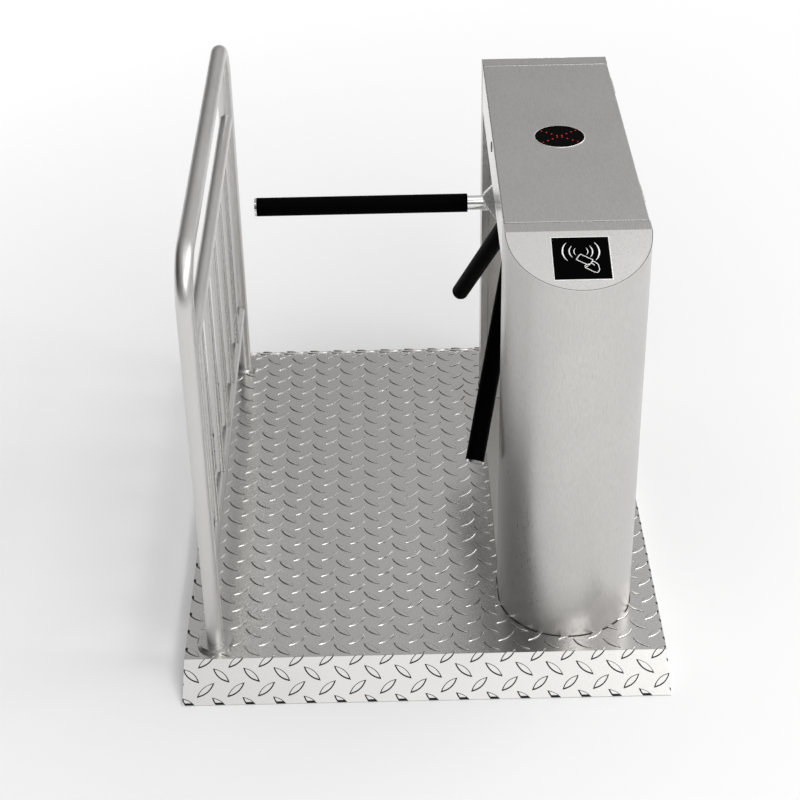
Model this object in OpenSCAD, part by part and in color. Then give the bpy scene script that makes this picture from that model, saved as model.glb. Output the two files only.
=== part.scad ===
// Portable tripod turnstile: a treaded deck with ramps, a stainless guard rail on its left edge,
// and a bridge-shaped cabinet on its right edge that carries a tilted three-arm tripod.
// Millimetres. +Z is up, +Y is the walking direction, +X points from the rail to the cabinet.
// The origin is on the floor, under the middle of the deck.

/* [Deck] */
// Width of the deck across the lane
deck_w = 1068; // [980:1:1300]
// Length of the flat top along the lane
deck_len = 1268; // [1210:1:1500]
// Height of the walking surface above the floor
deck_h = 50; // [44:1:70]
// Length of each ramp along the floor
ramp_run = 96; // [70:1:160]
// Thickness of the tread plate
plate_t = 4; // [3:0.5:6]
// Height of the rubber feet
foot_h = 6; // [4:1:10]

/* [Cabinet] */
// Width of the cabinet across the lane
cab_w = 300; // [280:1:340]
// Deck left free beyond each end of a centred cabinet
cab_end = 39; // [30:1:60]
// Height of the cabinet above the deck
cab_h = 943; // [900:1:1000]
// Strip of deck left free on the outer side of the cabinet
cab_margin = 60.5; // [40:0.5:80]
// Offset of the cabinet's middle from the deck's middle along the lane
cab_shift = 11; // [0:1:18]
// Length of each leg along the lane
leg_len = 217; // [205:1:222]
// Height of the beam that joins the legs
beam_h = 105; // [100:1:120]
// Thickness of the cabinet's sheet
sheet_t = 2; // [1.5:0.5:2.5]
// Length along the lane of each sloping end
slope_run = 150; // [120:1:170]
// Drop of the front sloping end
front_drop = 53.5; // [40:0.5:65]
// Drop of the back sloping end
back_drop = 66; // [50:0.5:75]
// Length of each fixed end of the top
cap_len = 189; // [180:1:200]
// Height of the lid's folded edge
lid_edge = 5; // [4:0.5:8]

/* [Reader and indicator] */
// Width of a card reader window
reader_w = 115; // [90:1:125]
// Height of a card reader window along the slope
reader_l = 112; // [90:1:116]
// Distance of the window from the top of the slope
reader_drop = 18; // [14:1:24]
// Diameter of the indicator in the lid
indicator_d = 110; // [90:1:120]

/* [Tripod] */
// Angle of the tripod's axis below the horizontal, and of each arm from the axis
tilt = 46.75; // [45:0.25:47.5]
// Distance of the tripod's apex inside the cabinet's lane face
apex_in = 69; // [66:0.5:80]
// Depth of the apex below the top of the cabinet
apex_drop = 159.5; // [154:0.5:164]
// Gap between the raised arm's tip and the plane of the guard rail
arm_gap = 103; // [100:0.5:150]
// Diameter of an arm's rubber sleeve
sleeve_d = 42; // [38:0.5:43]
// Diameter of an arm's chromed tube
arm_d = 32; // [28:1:34]
// Diameter of the tripod hub
hub_d = 150; // [146:1:152]
// Diameter of the tripod shaft
shaft_d = 30; // [25:1:32]

/* [Guard rail] */
// Distance of the rail's plane from the deck's left edge
rail_in = 66.7; // [55:0.1:90]
// Distance of each post's axis from the deck's end
rail_end = 53.4; // [45:0.1:90]
// Height of the top rail's axis above the deck
rail_top = 954; // [900:1:1000]
// Height of the middle bar's axis above the deck
rail_mid = 745.7; // [700:0.1:780]
// Height of the bottom bar's axis above the deck
rail_low = 187.1; // [150:0.1:230]
// Radius of the hoop's bends, at the tube's axis
bend_r = 95; // [80:1:120]
// Diameter of the hoop's tube
rail_d = 38; // [34:1:42]
// Diameter of the middle bar
mid_d = 32; // [28:1:34]
// Diameter of the bottom bar
low_d = 26; // [24:1:30]
// Diameter of the upright bars
upright_d = 20; // [16:1:22]
// Number of upright bars
upright_n = 5; // [4:1:5]

/* [Hidden] */
$fn = 64;
// Overrun of cuts past the faces they open
over = 1;
// Gap left round pieces that seat in one another
seat_gap = 0.1;
// Radial gap of a turning shaft in its bearing
run_gap = 0.05;
// Gap between pieces that move past each other
move_gap = 0.4;
// Gap between panels that meet edge to edge
panel_gap = 1;

// Deck and its frame
tube_w = 40;
tube_wall = 3;
frame_inset = 8;
foot_d = 44;
skirt_gap = 3;
ramp_nose = 2;
gusset_t = plate_t;
tube_h = deck_h - plate_t - foot_h;

// Guard rail
rail_x = rail_in - deck_w / 2;
rail_len = deck_len - 2 * rail_end;
tube_t = 2;
flange_d = 72;
flange_t = 6;
flange_bolt_d = 8;
flange_bolt_n = 4;
cover_d = 82;
cover_h = 11;
cover_t = 1.5;

// Cabinet
cab_x = deck_w / 2 - cab_margin - cab_w / 2;
cab_y = cab_shift;
cab_len = deck_len - 2 * cab_end;
lid_len = cab_len - 2 * cap_len;
cab_base_t = 4;
base_gap = 2;
flange_w = 30;
beam_lip = 12;
lid_lip = 10;
beam_z = cab_h - beam_h;
cover_lap = 14;
cover_gap = 2.5;
gasket_w = 8;
gasket_t = lid_edge - sheet_t;
anchor_d = 12;
anchor_in = 45;
nut_h = 10;

// Reader, indicator and lock
window_t = 3;
module_lip = 8;
module_t = 22;
bezel_w = 5;
bezel_h = 1.5;
lens_t = 3;
board_t = 2;
cup_h = 12;
lock_d = 19;
lock_face = 2;
lock_drop = 27;
lock_shift = 11.4;
lock_len = 20;
cam_t = 2.5;
cam_w = 12;
cam_reach = 20;
catch_w = 13;
catch_gap = 4;
catch_t = 2;

// Hinges of the lid
knuckle_d = 5;
pin_d = 2.4;
hinge_l = 81;
hinge_share = 0.345;
leaf_t = 1.5;
leaf_h = 16;
leaf_w = 15;

// Tripod, along its axis from the apex: plus is out into the lane, minus is into the beam
apex_x = cab_x - cab_w / 2 + apex_in;
apex_z = deck_h + cab_h - apex_drop;
arm_reach = apex_x - rail_x - arm_gap;
hub_r = hub_d / 2;
hub_rim = 50;
hub_back = 8;
nose_r = 30;
nose_t = 8;
nose_s = hub_rim + nose_t;
boss_wall = 3.5;
hub_bevel = 2;
nose_cap_t = 3;
root_t = hub_rim * cos(tilt) + hub_r * sin(tilt);
socket_in = 43;
sleeve_start = 35;
tip_cap_t = 5;
tip_plug_l = 14;
arm_wall = 2;
arm_grub_d = 8;
arm_grub_s = 38;
grub_sink = 1;
hub_bore_in = 12;
shaft_nut_d = 40;
hole_gap = 3;

// Mechanism behind the hub, by its distance from the apex along the axis
mech_base_t = 6;
mech_base_w = 270;
mech_base_l = 240;
mech_base_in = 8;
cheek_clear = 6;
cheek_y = hub_r + cheek_clear;
cheek_t = 6;
cheek_foot = 24;
shield_in = 4;
shield_r = hub_r - shield_in;
shield_gap = 2;
shield_s = hub_back + shield_gap;
shield_t = 14;
house_r = 62;
house_end = 112;
bearing_r = 31;
bearing_w = 16;
bearing_lip = 5;
ear_s = 92;
ear_w = 42;
cam_gap = 6;
cam_s = house_end + cam_gap;
ccam_t = 8;
ccam_r = 36;
ccam_lobe = 6;
disc_gap = 4;
disc_s = cam_s + ccam_t + disc_gap;
disc_t = 10;
disc_r = 50;
slot_r = 37.7;
slot_d = 12;
slot_angle = 148;
plunger_d = 10;
plunger_stroke = 10;
plunger_stop = 1;
plate_gap = 3;
plate_s = disc_s + disc_t + plunger_stroke + plunger_stop + plate_gap;
splate_t = 3;
splate_low = 56;
splate_high = 14;
solenoid_d = 28;
solenoid_l = 42;
roller_d = 16;
roller_w = 7;
roller_gap = 0.4;
arm_pin_d = 8;
carm_t = 5;
carm_w = 14;
carm_bar = 11;
carm_drop = 26;
carm_y = 58;
spring_d = 9;

// Pieces inside the front leg
box_t = 34;
control_h = 170;
control_w = 130;
supply_h = 150;
supply_w = 100;
control_z = 420;
supply_z = 180;
boxes_gap = 2;
gland_d = 16;
gland_l = 22;
gland_z = 40;

// Places

// The middle of the cabinet's footprint on the deck
module at_cabinet() {
  translate([cab_x, cab_y, deck_h]) children();
}

// One end of the cabinet: y runs inwards from the rounded end, side is 1 for front, -1 for back
module at_end(side) {
  at_cabinet()
    mirror([0, side > 0 ? 0 : 1, 0])
      translate([0, -cab_len / 2, 0]) children();
}

// The tripod's axis: z points out into the lane, x points up and towards the lane
module at_axis() {
  translate([apex_x, cab_y, apex_z])
    rotate([0, -90 - tilt, 0]) children();
}

// One arm: z runs along the arm from the apex
module at_arm(k) {
  at_axis()
    rotate([0, 0, k * 360 / 3])
      rotate([0, tilt, 0]) children();
}

// The foot of each rail post, on the deck
module at_posts() {
  for (side = [-1, 1])
    translate([rail_x, side * rail_len / 2, deck_h]) children();
}

// A bar along y, centred
module bar_y(d, l) {
  rotate([90, 0, 0]) cylinder(d = d, h = l, center = true);
}

// A round tube along z
module pipe(r, wall, l) {
  difference() {
    cylinder(r = r, h = l);
    translate([0, 0, -over]) cylinder(r = r - wall, h = l + 2 * over);
  }
}

// Deck

module tread_deck() {
  color("lightgray") difference() {
    union() {
      translate([-deck_w / 2, -deck_len / 2, deck_h - plate_t]) cube([deck_w, deck_len, plate_t]);
      for (side = [0, 1])
        mirror([side, 0, 0])
          translate([-deck_w / 2, -deck_len / 2, skirt_gap])
            cube([plate_t, deck_len, deck_h - skirt_gap]);
    }
    at_posts() flange_bolt_places(plate_t + over) cylinder(d = flange_bolt_d, h = plate_t + 2 * over);
    at_anchors(-plate_t - over)
      cylinder(r = anchor_d / 2 + seat_gap, h = plate_t + 2 * over);
  }
}

// A sheet folded from the deck's edge down to the floor, with closed ends
module ramp(side) {
  rise = deck_h - ramp_nose;
  angle = atan(rise / ramp_run);
  deep = plate_t / cos(angle);
  flat = (deep - ramp_nose) / tan(angle);
  mirror([0, side > 0 ? 0 : 1, 0])
    translate([0, -deck_len / 2, 0]) {
      rotate([90, 0, 90])
        linear_extrude(deck_w, center = true)
          polygon([[0, deck_h], [-ramp_run, ramp_nose], [-ramp_run, 0],
            [flat - ramp_run, 0], [0, deck_h - deep]]);
      for (end = [-1, 1])
        translate([end * (deck_w - gusset_t) / 2, 0, 0])
          rotate([90, 0, 90])
            linear_extrude(gusset_t, center = true)
              polygon([[0, deck_h], [-ramp_run, ramp_nose], [-ramp_run, 0], [0, 0]]);
    }
}

module front_ramp() {
  color("gainsboro") ramp(1);
}

module back_ramp() {
  color("gainsboro") ramp(-1);
}

// The frame's long rails: one at each edge, one under the cabinet's lane side, one halfway to it
edge_x = deck_w / 2 - frame_inset - tube_w / 2;
lane_side_x = cab_x - cab_w / 2;
frame_x = [-edge_x, (lane_side_x - edge_x) / 2, lane_side_x, edge_x];
// The cross bars: one at each end, one under each leg's inner face, one under the tripod
edge_y = deck_len / 2 - frame_inset - tube_w / 2;
leg_face = cab_len / 2 - leg_len;
frame_y = [-edge_y, cab_y - leg_face, cab_y, cab_y + leg_face, edge_y];
// The cross bars that stand on feet where they meet the rails
foot_y = [frame_y[0], frame_y[2], frame_y[4]];

// A square tube along x, standing on z = 0
module square_tube(l) {
  rotate([0, 90, 0])
    linear_extrude(l, center = true)
      difference() {
        translate([-tube_h, -tube_w / 2]) square([tube_h, tube_w]);
        translate([tube_wall - tube_h, tube_wall - tube_w / 2])
          square([tube_h - 2 * tube_wall, tube_w - 2 * tube_wall]);
      }
}

module subframe_rails() {
  color("dimgray")
    for (x = frame_x)
      translate([x, 0, foot_h]) rotate([0, 0, 90]) square_tube(deck_len - 2 * frame_inset);
}

module subframe_crossbars() {
  color("gray")
    for (i = [1:len(frame_x) - 1])
      for (y = frame_y)
        translate([(frame_x[i - 1] + frame_x[i]) / 2, y, foot_h])
          square_tube(frame_x[i] - frame_x[i - 1] - tube_w);
}

module rubber_feet() {
  color("black")
    for (x = frame_x)
      for (y = foot_y)
        translate([x, y, 0]) cylinder(d1 = foot_d, d2 = foot_d - foot_h, h = foot_h);
}

// Guard rail

// Bolt places of a post's flange
module flange_bolt_places(down) {
  for (k = [0:flange_bolt_n - 1])
    rotate([0, 0, (k + 0.5) * 360 / flange_bolt_n])
      translate([(flange_d + rail_d) / 4, 0, -down]) children();
}

module rail_hoop() {
  post = rail_top - bend_r;
  run = rail_len - 2 * bend_r;
  color("silver") {
    at_posts() pipe(rail_d / 2, tube_t, post);
    translate([rail_x, run / 2, deck_h + rail_top]) rotate([90, 0, 0]) pipe(rail_d / 2, tube_t, run);
    for (side = [0, 1])
      mirror([0, side, 0])
        translate([rail_x, run / 2, deck_h + post])
          rotate([90, 0, 90])
            rotate_extrude(angle = 90, $fn = 96)
              translate([bend_r, 0])
                difference() {
                  circle(d = rail_d);
                  circle(d = rail_d - 2 * tube_t);
                }
  }
}

// A bar between the posts, cut to their round
module rail_bar(d, z) {
  difference() {
    translate([rail_x, 0, deck_h + z]) bar_y(d, rail_len);
    at_posts() cylinder(d = rail_d, h = rail_top);
  }
}

module rail_mid_bar() {
  color("silver") rail_bar(mid_d, rail_mid);
}

module rail_bottom_bar() {
  color("silver") rail_bar(low_d, rail_low);
}

module rail_uprights() {
  pitch = rail_len / (upright_n + 1);
  color("silver") difference() {
    for (i = [1:upright_n])
      translate([rail_x, i * pitch - rail_len / 2, deck_h + rail_low])
        cylinder(d = upright_d, h = rail_mid - rail_low);
    translate([rail_x, 0, deck_h + rail_mid]) bar_y(mid_d, rail_len);
    translate([rail_x, 0, deck_h + rail_low]) bar_y(low_d, rail_len);
  }
}

module rail_flanges() {
  color("darkgray") at_posts() difference() {
    cylinder(d = flange_d, h = flange_t);
    translate([0, 0, -over]) cylinder(d = rail_d, h = flange_t + 2 * over);
    flange_bolt_places(over) cylinder(d = flange_bolt_d, h = flange_t + 2 * over);
  }
}

// Low hexagon bolts through the flange and the deck plate
module rail_flange_bolts() {
  color("gray") at_posts() flange_bolt_places(plate_t) {
    cylinder(d = flange_bolt_d, h = plate_t + flange_t);
    translate([0, 0, plate_t + flange_t])
      cylinder(d = flange_bolt_d * 1.5, h = flange_bolt_d / 4, $fn = 6);
  }
}

module rail_flange_covers() {
  color("lightgray") at_posts() rotate_extrude() polygon([
    [rail_d / 2, cover_h], [rail_d / 2, cover_h - cover_t], [flange_d / 2 + cover_t, cover_h - cover_t],
    [cover_d / 2 - cover_t, cover_h / 2], [cover_d / 2 - cover_t, 0], [cover_d / 2, 0],
    [cover_d / 2, cover_h / 2], [flange_d / 2 + cover_t, cover_h]]);
}

// Cabinet shell

// Footprint of a whole cabinet, drawn in by inset
module oblong(inset) {
  w = cab_w - 2 * inset;
  l = cab_len - cab_w;
  square([w, l], center = true);
  for (side = [-1, 1])
    translate([0, side * l / 2]) circle(d = w, $fn = 128);
}

// Footprint of one leg, from its rounded end inwards, drawn in by inset
module leg_outline(inset) {
  r = cab_w / 2 - inset;
  intersection() {
    union() {
      translate([0, cab_w / 2]) circle(r = r, $fn = 128);
      translate([-r, cab_w / 2]) square([2 * r, leg_len - cab_w / 2]);
    }
    translate([-r, 0]) square([2 * r, leg_len]);
  }
}

// Angle of the slope at one end
function slope_angle(side) = atan((side > 0 ? front_drop : back_drop) / slope_run);

// Everything under the top of one end, lowered by drop
module under_top(side, drop) {
  rotate([90, 0, 90])
    linear_extrude(cab_w + 2 * over, center = true)
      polygon([[-over, -over], [leg_len + over, -over], [leg_len + over, cab_h - drop],
        [slope_run, cab_h - drop], [-over, cab_h - drop - (slope_run + over) * tan(slope_angle(side))]]);
}

// The strip of a leg's top that the lid covers
module lid_recess(drop) {
  translate([-cab_w / 2 - over, cap_len, cab_h - drop]) cube([cab_w + 2 * over, leg_len, drop + over]);
}

module leg_shell(side) {
  color("silver") at_end(side) difference() {
    union() {
      intersection() {
        difference() {
          linear_extrude(cab_h) leg_outline(0);
          translate([0, 0, -over]) linear_extrude(cab_h + 2 * over) {
            leg_outline(sheet_t);
            translate([sheet_t - cab_w / 2, leg_len - over]) square([cab_w - 2 * sheet_t, 2 * over]);
          }
        }
        under_top(side, sheet_t);
      }
      // Flanges that the flat cover of the leg seats on
      for (s = [0, 1])
        mirror([s, 0, 0])
          translate([-cab_w / 2, leg_len - sheet_t, cab_base_t])
            cube([flange_w, sheet_t, beam_z - cab_base_t]);
    }
    lid_recess(lid_edge);
    if (side < 0) translate([0, -over, gland_z]) rotate([-90, 0, 0]) cylinder(d = gland_d, h = gland_l);
  }
}

module front_leg_shell() {
  leg_shell(1);
}

module back_leg_shell() {
  leg_shell(-1);
}

// A flat panel between the leg's flanges, with a step that laps behind them
module leg_cover(side) {
  face_w = cab_w - 2 * flange_w - 2 * cover_gap;
  color("lightgray") at_end(side) {
    translate([-face_w / 2, leg_len - sheet_t, cab_base_t + panel_gap])
      cube([face_w, sheet_t, beam_z - cab_base_t - 2 * panel_gap]);
    translate([-face_w / 2 - cover_lap, leg_len - 2 * sheet_t, cab_base_t + panel_gap])
      cube([face_w + 2 * cover_lap, sheet_t, beam_z - cab_base_t - 2 * panel_gap]);
  }
}

module front_leg_cover() {
  leg_cover(1);
}

module back_leg_cover() {
  leg_cover(-1);
}

// A channel between the legs, with a lip under the lid and one under the bottom plate
module beam_side() {
  l = cab_len - 2 * leg_len;
  translate([-cab_w / 2, -l / 2, beam_z]) {
    cube([sheet_t, l, beam_h - lid_edge]);
    cube([beam_lip, l, sheet_t]);
    translate([0, 0, beam_h - lid_edge - sheet_t]) cube([lid_lip, l, sheet_t]);
  }
}

module beam_left_side() {
  color("silver") difference() {
    at_cabinet() beam_side();
    at_lock() translate([-over, 0, 0]) rotate([0, 90, 0]) cylinder(d = lock_d, h = sheet_t + 2 * over);
  }
}

module beam_right_side() {
  color("silver") at_cabinet() difference() {
    mirror([1, 0, 0]) beam_side();
    at_hinges() hinge_notch();
  }
}

module beam_bottom_plate() {
  w = cab_w - 2 * sheet_t - panel_gap;
  l = cab_len - 2 * leg_len;
  color("lightgray") difference() {
    at_cabinet() translate([-w / 2, -l / 2, beam_z + sheet_t]) cube([w, l, sheet_t]);
    hub_hole();
  }
}

// The round hole through the underside that the hub and its bearing housing pass
module hub_hole() {
  at_axis() translate([0, 0, -2 * cab_w]) cylinder(r = hub_r + hole_gap, h = 3 * cab_w, $fn = 128);
}

// The sheet that closes a rounded end: a short flat strip and the slope with its reader opening
module top_cap(side) {
  color("silver") at_end(side) difference() {
    intersection() {
      linear_extrude(cab_h) leg_outline(0);
      difference() {
        under_top(side, 0);
        under_top(side, sheet_t);
      }
      translate([-cab_w / 2, 0, 0]) cube([cab_w, cap_len - panel_gap, cab_h]);
    }
    at_slope(side) translate([-reader_w / 2, -reader_l, -2 * over - sheet_t])
      cube([reader_w, reader_l, sheet_t + 4 * over]);
  }
}

// The top edge of a reader window on the slope: y runs up the slope, z out of it
module at_slope(side) {
  translate([0, slope_run, cab_h])
    rotate([slope_angle(side), 0, 0])
      translate([0, -reader_drop, 0]) children();
}

module front_top_cap() {
  top_cap(1);
}

module back_top_cap() {
  top_cap(-1);
}

module cabinet_base_plate() {
  color("lightgray") difference() {
    at_cabinet() linear_extrude(cab_base_t) oblong(sheet_t + base_gap);
    at_anchors(-over) cylinder(r = anchor_d / 2 + seat_gap, h = cab_base_t + 2 * over);
  }
}

// Anchor places in both legs, at height z above the deck
module at_anchors(z) {
  for (side = [-1, 1])
    at_end(side)
      for (x = [-1, 1])
        for (y = [anchor_in * 2, leg_len - anchor_in])
          translate([x * (cab_w / 2 - anchor_in), y, z]) children();
}

// Bolts that hold the cabinet to the deck, each with its head and nut
module anchor_bolts() {
  color("gray") at_anchors(-plate_t) {
    cylinder(d = anchor_d, h = plate_t + cab_base_t);
    translate([0, 0, plate_t + cab_base_t]) cylinder(d = anchor_d * 2, h = anchor_d * 0.6, $fn = 6);
    translate([0, 0, -nut_h]) cylinder(d = anchor_d * 2, h = nut_h, $fn = 6);
  }
}

// Lid, its hinges and its lock

// Cross section of the lid, folded down at both long edges
module lid_section() {
  r = lid_edge - leaf_t;
  difference() {
    union() {
      translate([-cab_w / 2, -lid_edge]) square([cab_w, lid_edge - r]);
      translate([r - cab_w / 2, -lid_edge]) square([cab_w - 2 * r, lid_edge]);
      for (x = [-1, 1])
        intersection() {
          translate([x * (cab_w / 2 - r), -r]) circle(r = r);
          translate([-cab_w / 2, -lid_edge]) square([cab_w, lid_edge]);
        }
    }
    translate([sheet_t - cab_w / 2, -lid_edge - over])
      square([cab_w - 2 * sheet_t, lid_edge - sheet_t + over]);
  }
}

module lid() {
  l = lid_len - panel_gap;
  color("lightgray") at_cabinet() difference() {
    translate([0, 0, cab_h]) union() {
      rotate([90, 0, 0]) linear_extrude(l, center = true) lid_section();
      for (side = [-1, 1])
        translate([sheet_t - cab_w / 2, side * (l - sheet_t) / 2 - sheet_t / 2, -lid_edge + leaf_t])
          cube([cab_w - 2 * sheet_t, sheet_t, lid_edge - leaf_t - sheet_t / 2]);
    }
    translate([0, 0, cab_h - sheet_t - over])
      cylinder(d = indicator_d - bezel_w, h = sheet_t + 2 * over, $fn = 128);
    at_hinges() hinge_notch();
  }
}

// Strips between the lid and the lips of the beam, parted at the hinges
module lid_gasket() {
  l = cab_len - 2 * leg_len;
  color("black") at_cabinet() difference() {
    for (x = [-1, 1])
      translate([x * (cab_w / 2 - sheet_t - seat_gap - gasket_w / 2) - gasket_w / 2, -l / 2,
        cab_h - lid_edge]) cube([gasket_w, l, gasket_t]);
    at_hinges() translate([-leaf_w, 0, 0])
      cube([3 * leaf_w, hinge_l + 2 * panel_gap, 4 * gasket_t], center = true);
  }
}

// The two hinge axes, on the edge where the lid's fold meets the cabinet's outer wall
module at_hinges() {
  for (side = [-1, 1])
    translate([cab_w / 2, side * hinge_share * lid_len, cab_h - lid_edge]) children();
}

// The notch that takes a hinge's knuckles, in the wall and in the fold of the lid
module hinge_notch() {
  low = knuckle_d / 2 + move_gap;
  l = hinge_l + 2 * move_gap;
  translate([-low, -l / 2, -low]) cube([low + over, l, low + lid_edge - sheet_t]);
}

// One knuckle along y, from y = from to y = to
module knuckle(from, to) {
  difference() {
    translate([0, from, 0]) rotate([-90, 0, 0]) cylinder(d = knuckle_d, h = to - from);
    translate([0, from - over, 0]) rotate([-90, 0, 0])
      cylinder(r = pin_d / 2 + run_gap, h = to - from + 2 * over);
  }
}

module lid_hinge_fixed() {
  third = hinge_l / 3;
  face = seat_gap;
  low = -knuckle_d / 2 - leaf_h;
  color("gray") at_cabinet() at_hinges() {
    difference() {
      union() {
        translate([face, -hinge_l / 2, low]) cube([leaf_t, hinge_l, leaf_h - move_gap]);
        for (y = [-hinge_l / 2, hinge_l / 2 - third])
          translate([face, y, low]) cube([leaf_t, third, -low - pin_d / 2]);
      }
      translate([0, -hinge_l, 0]) rotate([-90, 0, 0]) cylinder(r = pin_d / 2 + run_gap, h = 2 * hinge_l);
    }
    knuckle(-hinge_l / 2, third - hinge_l / 2);
    knuckle(hinge_l / 2 - third, hinge_l / 2);
  }
}

module lid_hinge_moving() {
  half = hinge_l / 6 - move_gap;
  edge = -knuckle_d / 2 - 2 * move_gap;
  high = lid_edge - sheet_t - seat_gap - leaf_t;
  color("darkgray") at_cabinet() at_hinges() {
    difference() {
      union() {
        translate([edge - leaf_w, -hinge_l / 2, high]) cube([leaf_w, hinge_l, leaf_t]);
        translate([edge - leaf_w, -half, high]) cube([leaf_w - edge, 2 * half, leaf_t]);
      }
      translate([0, -hinge_l, 0]) rotate([-90, 0, 0]) cylinder(r = pin_d / 2 + run_gap, h = 2 * hinge_l);
    }
    knuckle(-half, half);
  }
}

module lid_hinge_pins() {
  color("silver") at_cabinet() at_hinges() bar_y(pin_d, hinge_l);
}

// The lock's face on the lane side of the beam: x points into the cabinet
module at_lock() {
  at_cabinet() translate([-cab_w / 2, lock_shift, cab_h - lock_drop]) children();
}

module lock_barrel() {
  color("silver") at_lock() rotate([0, 90, 0]) difference() {
    union() {
      translate([0, 0, -lock_face]) cylinder(d = lock_d + 2 * lock_face, h = lock_face);
      cylinder(r = lock_d / 2 - seat_gap, h = lock_len);
      translate([0, 0, sheet_t]) cylinder(d = lock_d * 1.35, h = 2 * sheet_t, $fn = 6);
    }
    translate([0, 0, -lock_face - over])
      cylinder(r = lock_d / 3 + run_gap, h = lock_len + lock_face + 2 * over);
  }
}

// The keyed plug with its cam, drawn unlocked with the cam upright
module lock_plug() {
  color("dimgray") at_lock() {
    difference() {
      translate([-lock_face, 0, 0]) rotate([0, 90, 0])
        cylinder(r = lock_d / 3, h = lock_face + lock_len + move_gap);
      translate([-lock_face - over, -cam_t / 4, -lock_d / 5])
        cube([over + lock_len / 2, cam_t / 2, lock_d / 2.5]);
    }
    translate([lock_len + move_gap, 0, 0]) {
      rotate([0, 90, 0]) cylinder(d = cam_w, h = cam_t);
      translate([0, -cam_w / 2, 0]) cube([cam_t, cam_w, cam_reach]);
    }
  }
}

// A hook on the lid that the turned cam holds down
module lid_catch() {
  x = lock_len - cam_t;
  depth = 2 * cam_t + 5 * catch_t;
  low = -cam_w / 2 - move_gap;
  color("gray") at_lock() translate([x, -cam_w / 2 - catch_gap - catch_w, 0]) {
    translate([0, 0, low - catch_t]) cube([depth, catch_w, catch_t]);
    translate([depth - catch_t, 0, low]) cube([catch_t, catch_w, lock_drop - sheet_t - low]);
    translate([depth, 0, lock_drop - sheet_t - catch_t]) cube([3 * catch_t, catch_w, catch_t]);
  }
}

// Readers and indicator

module reader_windows() {
  color("black")
    for (side = [1, -1])
      at_end(side) at_slope(side)
        translate([seat_gap - reader_w / 2, seat_gap - reader_l, -sheet_t])
          cube([reader_w - 2 * seat_gap, reader_l - 2 * seat_gap, sheet_t + window_t / 10]);
}

// The antenna box behind each window, with a rim under the sheet
module reader_modules() {
  color("dimgray")
    for (side = [1, -1])
      at_end(side) at_slope(side) {
        translate([-reader_w / 2 - module_lip, -reader_l - module_lip, -sheet_t - window_t])
          cube([reader_w + 2 * module_lip, reader_l + 2 * module_lip, window_t]);
        translate([-reader_w / 2, -reader_l, -sheet_t - window_t - module_t])
          cube([reader_w, reader_l, module_t]);
      }
}

// A cup with a bright rim that drops into the lid
module indicator_bezel() {
  r = indicator_d / 2;
  color("silver") at_cabinet() translate([0, 0, cab_h]) rotate_extrude($fn = 128) polygon([
    [0, -cup_h], [r - bezel_w / 2 - seat_gap, -cup_h], [r - bezel_w / 2 - seat_gap, 0], [r, 0],
    [r, bezel_h / 2], [r - bezel_h / 2, bezel_h], [r - bezel_w, bezel_h],
    [r - bezel_w, board_t - cup_h], [0, board_t - cup_h]]);
}

module indicator_lens() {
  color("black") at_cabinet() translate([0, 0, cab_h + bezel_h / 2 - lens_t])
    cylinder(r = indicator_d / 2 - bezel_w - seat_gap, h = lens_t, $fn = 128);
}

module indicator_board() {
  top = bezel_h / 2 - lens_t;
  r = indicator_d / 2 - bezel_w - seat_gap;
  color("darkgreen") at_cabinet() translate([0, 0, cab_h]) {
    translate([0, 0, top - board_t]) cylinder(r = r, h = board_t);
    for (k = [0:3])
      rotate([0, 0, 45 + 90 * k]) translate([r - bezel_w, 0, board_t - cup_h])
        cylinder(d = bezel_w, h = top - 2 * board_t + cup_h);
  }
}

// Mechanism

// Top of the mechanism's base plate, above the deck
mech_top = beam_z + 2 * sheet_t + mech_base_t;

module mechanism_base() {
  color("dimgray") difference() {
    at_cabinet() translate([-mech_base_w / 2, -mech_base_l / 2, beam_z + 2 * sheet_t])
      cube([mech_base_w, mech_base_l, mech_base_t]);
    hub_hole();
  }
}

// Two plates on feet that hold the housing between them, shaped in shares of their length and height
cheek_shares = [[0, 0], [1, 0], [1, 0.8], [0.72, 1], [0.22, 1], [0, 0.35]];
module mechanism_cheeks() {
  l = mech_base_w - 5 * mech_base_in;
  h = cab_h - lid_edge - sheet_t - mech_top - 4 * mech_base_in + cheek_t;
  color("gray") at_cabinet()
    for (side = [0, 1])
      mirror([0, side, 0])
        translate([-l / 2, 0, mech_top]) {
          translate([0, cheek_y + cheek_t, 0]) rotate([90, 0, 0])
            linear_extrude(cheek_t) polygon([for (p = cheek_shares) [p.x * l, p.y * h]]);
          translate([0, cheek_y, 0]) cube([l, cheek_foot, cheek_t]);
        }
}

// The fixed housing of the shaft, with a shield against the hub and an ear to each cheek
module axle_housing() {
  color("darkgray") at_axis() difference() {
    union() {
      translate([0, 0, -shield_s - shield_t]) cylinder(r = shield_r, h = shield_t, $fn = 96);
      translate([0, 0, -house_end]) cylinder(r = house_r, h = house_end - shield_s, $fn = 96);
      for (side = [0, 1])
        mirror([0, side, 0])
          translate([0, house_r - 2 * shield_t, -house_end])
            cube([ear_w, cheek_y - house_r + 2 * shield_t, house_end - ear_s]);
      carm_pivot() translate([0, 0, -carm_t]) cylinder(d = arm_pin_d, h = cam_s + ccam_t - house_end + carm_t);
    }
    translate([0, 0, -house_end - over]) {
      cylinder(r = bearing_r - bearing_lip, h = house_end);
      cylinder(r = bearing_r, h = bearing_w + over);
    }
    translate([0, 0, -shield_s - bearing_w]) cylinder(r = bearing_r, h = bearing_w + over);
  }
}

// Pivot of the centring arm on the housing's rear face: z runs to the rear
module carm_pivot() {
  translate([carm_drop - cheek_t, carm_y - cheek_t, -house_end]) mirror([0, 0, 1]) children();
}

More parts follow.
